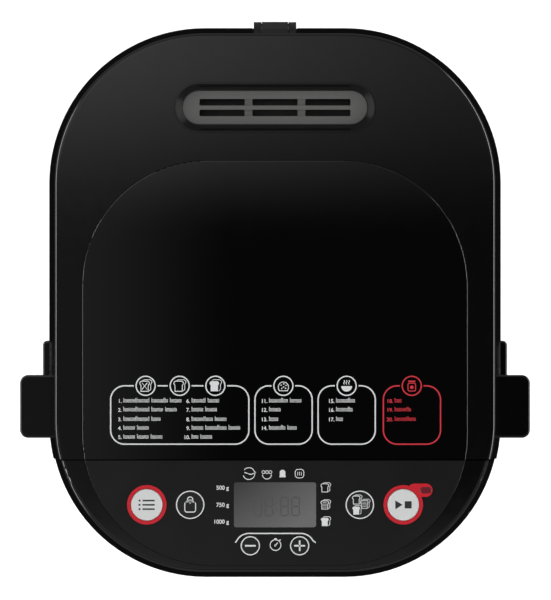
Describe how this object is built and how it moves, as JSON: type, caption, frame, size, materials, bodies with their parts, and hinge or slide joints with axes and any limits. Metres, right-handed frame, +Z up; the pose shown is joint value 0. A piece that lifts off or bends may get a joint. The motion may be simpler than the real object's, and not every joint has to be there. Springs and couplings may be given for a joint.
{
  "type": "bread machine",
  "caption": "Countertop bread machine with a hinged lid, steam vent, lift-out pan, belt-driven kneading paddle and a front control panel with push buttons.",
  "frame": {"origin": "centre of the overall box, on the surface it stands on", "axes": "+Z up, front and control panel towards -Y, lid hinge at +Y"},
  "size_m": [0.3114, 0.3392, 0.3014],
  "materials": {
    "gloss_black": "high gloss moulded black",
    "piano_black": "piano black inset panel",
    "satin_black": "satin black overlay",
    "vent_grey": "satin mid grey",
    "silver_cap": "satin silver",
    "red_ring": "translucent red",
    "lamp_red": "dark red lens",
    "display_grey": "grey display behind a clear window",
    "inner_black": "moulded, fine texture",
    "rubber": "matte rubber",
    "steel": "plated steel",
    "oven_sheet": "coated steel sheet",
    "aluminium": "pressed aluminium",
    "nonstick": "non-stick coating with a slight fleck",
    "heater_steel": "heat-darkened steel tube",
    "ceramic": "unglazed white ceramic",
    "brass": "sintered bush metal",
    "pulley_plastic": "natural moulded plastic",
    "circuit_board": "green circuit board"
  },
  "bodies": {
    "base": {"lower_housing": "gloss_black", "carry_grip_left": "gloss_black", "carry_grip_right": "gloss_black", "top_frame": "gloss_black", "base_plate": "inner_black", "rubber_feet": "rubber", "housing_screws": "steel", "hinge_bracket": "inner_black", "hinge_pin": "steel", "control_panel": "satin_black", "menu_ring": "red_ring", "start_ring": "red_ring", "indicator_lens": "lamp_red", "display_window": "display_grey", "display_module": "inner_black", "display_board": "circuit_board", "key_switches": "inner_black", "chamber_liner": "oven_sheet", "pan_seat": "steel", "heating_element": "heater_steel", "heater_insulators": "ceramic", "heater_clips": "steel", "temperature_sensor": "steel", "chassis": "steel", "bearing_housing": "brass", "motor_body": "inner_black", "motor_mounts": "rubber", "drive_belt": "rubber", "power_board": "circuit_board", "board_components": "inner_black", "cord_gland": "inner_black"},
    "lid": {"lid_shell": "gloss_black", "lid_panel": "piano_black", "vent_bezel": "gloss_black", "vent_grille": "vent_grey", "lid_liner": "inner_black", "lid_reflector": "aluminium", "lid_screws": "steel", "lid_handle_left": "gloss_black", "lid_handle_right": "gloss_black"},
    "drive": {"large_pulley": "pulley_plastic", "drive_shaft": "steel", "lower_coupling": "aluminium"},
    "rotor": {"motor_shaft": "steel", "motor_pulley": "pulley_plastic", "motor_fan": "inner_black"},
    "pan": {"bread_pan": "nonstick", "pan_ears": "steel", "pan_skirt": "aluminium", "pan_bearing": "brass"},
    "bail": {"bail_handle": "steel"},
    "kneader": {"knead_shaft": "steel", "upper_coupling": "aluminium"},
    "paddle": {"kneading_paddle": "nonstick"},
    "menu_button_key": {"menu_button": "silver_cap"},
    "start_button_key": {"start_button": "silver_cap"},
    "weight_button_key": {"weight_button": "satin_black"},
    "crust_button_key": {"crust_button": "satin_black"},
    "minus_button_key": {"minus_button": "satin_black"},
    "plus_button_key": {"plus_button": "satin_black"}
  },
  "joints": [
    {"name": "lid_hinge", "type": "hinge", "parent": "base", "child": "lid", "pos_m": [0, 0.1651, 0.2384], "axis": [-1, 0, 0], "range_deg": [0, 100]},
    {"name": "pan_lift", "type": "slide", "parent": "base", "child": "pan", "axis": [0, 0, 1], "range_m": [0, 0.175]},
    {"name": "bail_swing", "type": "hinge", "parent": "pan", "child": "bail", "pos_m": [0, 0.028, 0.208], "axis": [1, 0, 0], "range_deg": [0, 180]},
    {"name": "drive_spin", "type": "hinge", "parent": "base", "child": "drive", "pos_m": [0, 0.028, 0.05], "axis": [0, 0, 1], "continuous": true},
    {"name": "motor_spin", "type": "hinge", "parent": "base", "child": "rotor", "pos_m": [0.05, -0.113, 0.05], "axis": [0, 0, 1], "continuous": true},
    {"name": "knead_spin", "type": "hinge", "parent": "pan", "child": "kneader", "pos_m": [0, 0.028, 0.1], "axis": [0, 0, 1], "continuous": true},
    {"name": "paddle_lift", "type": "slide", "parent": "kneader", "child": "paddle", "axis": [0, 0, 1], "range_m": [0, 0.026]},
    {"name": "menu_press", "type": "slide", "parent": "base", "child": "menu_button_key", "axis": [0, 0, -1], "range_m": [0, 0.001], "stiffness_N_per_m": 200, "springref_m": -0.001},
    {"name": "start_press", "type": "slide", "parent": "base", "child": "start_button_key", "axis": [0, 0, -1], "range_m": [0, 0.001], "stiffness_N_per_m": 200, "springref_m": -0.001},
    {"name": "weight_press", "type": "slide", "parent": "base", "child": "weight_button_key", "axis": [0, 0, -1], "range_m": [0, 0.001], "stiffness_N_per_m": 200, "springref_m": -0.001},
    {"name": "crust_press", "type": "slide", "parent": "base", "child": "crust_button_key", "axis": [0, 0, -1], "range_m": [0, 0.001], "stiffness_N_per_m": 200, "springref_m": -0.001},
    {"name": "minus_press", "type": "slide", "parent": "base", "child": "minus_button_key", "axis": [0, 0, -1], "range_m": [0, 0.001], "stiffness_N_per_m": 200, "springref_m": -0.001},
    {"name": "plus_press", "type": "slide", "parent": "base", "child": "plus_button_key", "axis": [0, 0, -1], "range_m": [0, 0.001], "stiffness_N_per_m": 200, "springref_m": -0.001}
  ],
  "couplings": [
    {"joint": "pan_lift", "follows": "lid_hinge", "m_per_rad": 0.1},
    {"joint": "motor_spin", "follows": "drive_spin", "ratio": 5.3333},
    {"joint": "knead_spin", "follows": "drive_spin", "ratio": 1}
  ]
}
